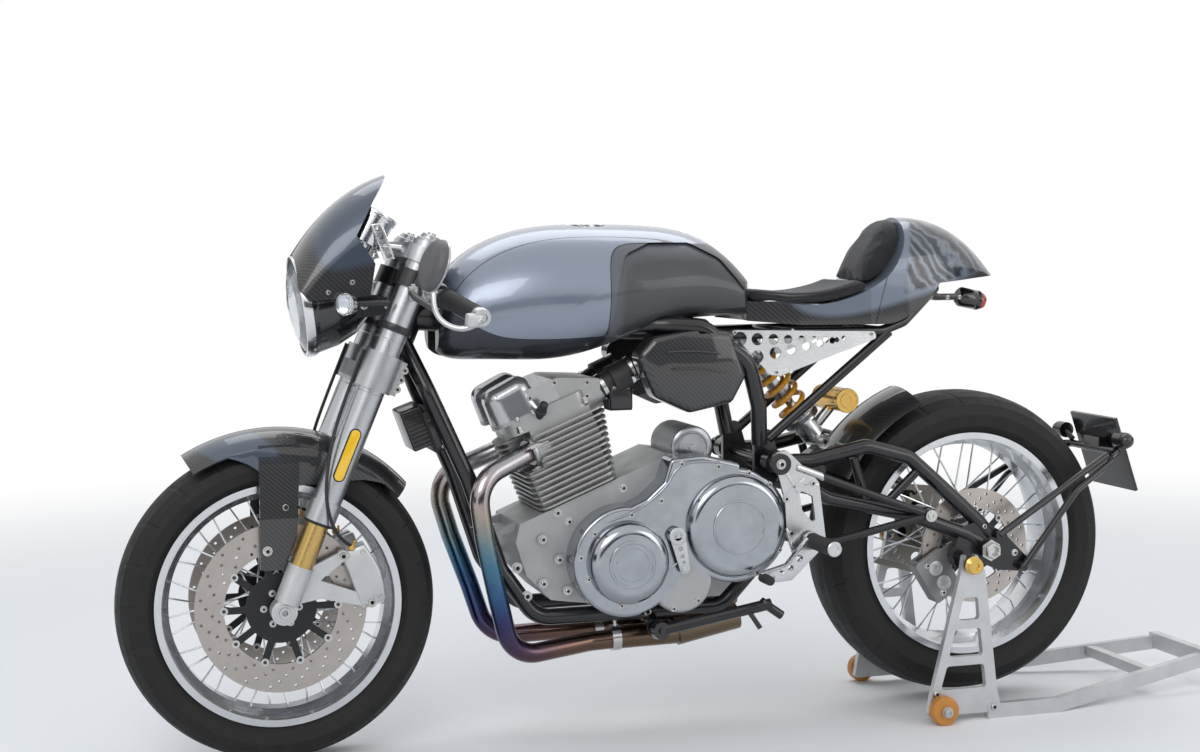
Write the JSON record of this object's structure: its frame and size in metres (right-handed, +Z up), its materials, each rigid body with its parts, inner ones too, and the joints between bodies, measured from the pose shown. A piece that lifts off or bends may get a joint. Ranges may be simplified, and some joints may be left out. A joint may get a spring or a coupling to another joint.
{
  "type": "cafe racer motorcycle",
  "caption": "Cafe racer motorcycle with parallel-twin engine, wire wheels and low bars, held level on a rear paddock stand.",
  "frame": {"origin": "floor level, under the middle of the whole part's length and width", "axes": "+X from the headlamp to the tail, +Y to the rider's right, +Z up"},
  "size_m": [2.283, 0.7776, 1.1063],
  "materials": {
    "tyre_rubber": "matt black tread rubber",
    "polished_alloy": "polished rims, stainless spokes and hubs",
    "disc_steel": "ground disc ring on a black carrier",
    "chain_steel": "oiled steel",
    "fork_gold": "satin gold anodised tube",
    "brushed_alloy": "brushed, clear anodised",
    "silver_cast": "white-silver painted casting",
    "black_metal": "gloss black",
    "black_plastic": "matt black moulding",
    "chrome_trim": "bright chrome",
    "lamp_glass": "clear lens",
    "red_lens": "red lamp lens",
    "carbon": "clear-coated carbon weave",
    "tank_silver": "pearl silver-blue paint",
    "case_grey": "light grey castings with polished covers",
    "fin_grey": "as-cast grey fins with bright edges",
    "header_metal": "heat-tinted pipes",
    "spring_orange": "gloss orange coil",
    "suede": "black suede hide",
    "plate_polished": "polished sheet",
    "hose_rubber": "black hose",
    "roller_orange": "orange nylon roller",
    "stand_silver": "silver painted tube"
  },
  "bodies": {
    "bike": {"main_frame": "black_metal", "rear_subframe": "black_metal", "swingarm": "black_metal", "crankcase": "case_grey", "cylinders": "fin_grey", "cylinder_head": "fin_grey", "side_covers": "case_grey", "carburettors": "black_metal", "airbox_covers": "carbon", "exhaust": "header_metal", "fuel_tank": "tank_silver", "seat_base": "carbon", "seat_pads": "suede", "tail_light": "red_lens", "side_plates": "plate_polished", "shock_absorber": "brushed_alloy", "shock_spring": "spring_orange", "rear_hugger": "carbon", "plate_holder": "black_metal", "footrests": "brushed_alloy", "rear_caliper": "black_metal", "drive_chain": "chain_steel", "gearbox_sprocket": "chain_steel", "regulator_box": "black_plastic", "paddock_stand": "stand_silver"},
    "steering": {"fork_outers": "brushed_alloy", "fork_inners": "fork_gold", "fork_feet": "silver_cast", "front_calipers": "black_metal", "yokes": "silver_cast", "handlebars": "black_metal", "mirrors": "brushed_alloy", "headlight_shell": "chrome_trim", "headlight_lens": "lamp_glass", "cowl": "carbon", "gauges": "chrome_trim", "front_indicators": "chrome_trim", "front_mudguard": "carbon", "brake_hoses": "hose_rubber"},
    "front_wheel": {"front_tyre": "tyre_rubber", "front_wire_wheel": "polished_alloy", "front_discs": "disc_steel"},
    "rear_wheel": {"rear_tyre": "tyre_rubber", "rear_wire_wheel": "polished_alloy", "rear_disc": "disc_steel", "rear_sprocket": "chain_steel"},
    "fuel_lid": {"fuel_cap": "brushed_alloy"},
    "side_stand_leg": {"side_stand": "black_metal"},
    "stand_roller_left": {"roller_left": "roller_orange"},
    "stand_roller_right": {"roller_right": "roller_orange"}
  },
  "joints": [
    {"name": "steering", "type": "hinge", "parent": "bike", "child": "steering", "pos_m": [-0.5795, 0, 0.8407], "axis": [0.3875, 0, 0.9219], "range_deg": [-25, 25]},
    {"name": "front_wheel", "type": "hinge", "parent": "steering", "child": "front_wheel", "pos_m": [-0.8415, 0, 0.3], "axis": [0, 1, 0], "continuous": true},
    {"name": "rear_wheel", "type": "hinge", "parent": "bike", "child": "rear_wheel", "pos_m": [0.5785, 0, 0.3418], "axis": [0, 1, 0], "continuous": true},
    {"name": "side_stand", "type": "hinge", "parent": "bike", "child": "side_stand_leg", "pos_m": [-0.1235, -0.15, 0.222], "axis": [-0.1267, 0.9859, -0.1094], "range_deg": [0, 100]},
    {"name": "fuel_lid", "type": "hinge", "parent": "bike", "child": "fuel_lid", "pos_m": [-0.2595, 0, 1.0058], "axis": [0, -1, 0], "range_deg": [0, 100]},
    {"name": "stand_roller_left", "type": "hinge", "parent": "bike", "child": "stand_roller_left", "pos_m": [0.4585, -0.2005, 0.029], "axis": [0, 1, 0], "continuous": true},
    {"name": "stand_roller_right", "type": "hinge", "parent": "bike", "child": "stand_roller_right", "pos_m": [0.4585, 0.2005, 0.029], "axis": [0, 1, 0], "continuous": true}
  ]
}
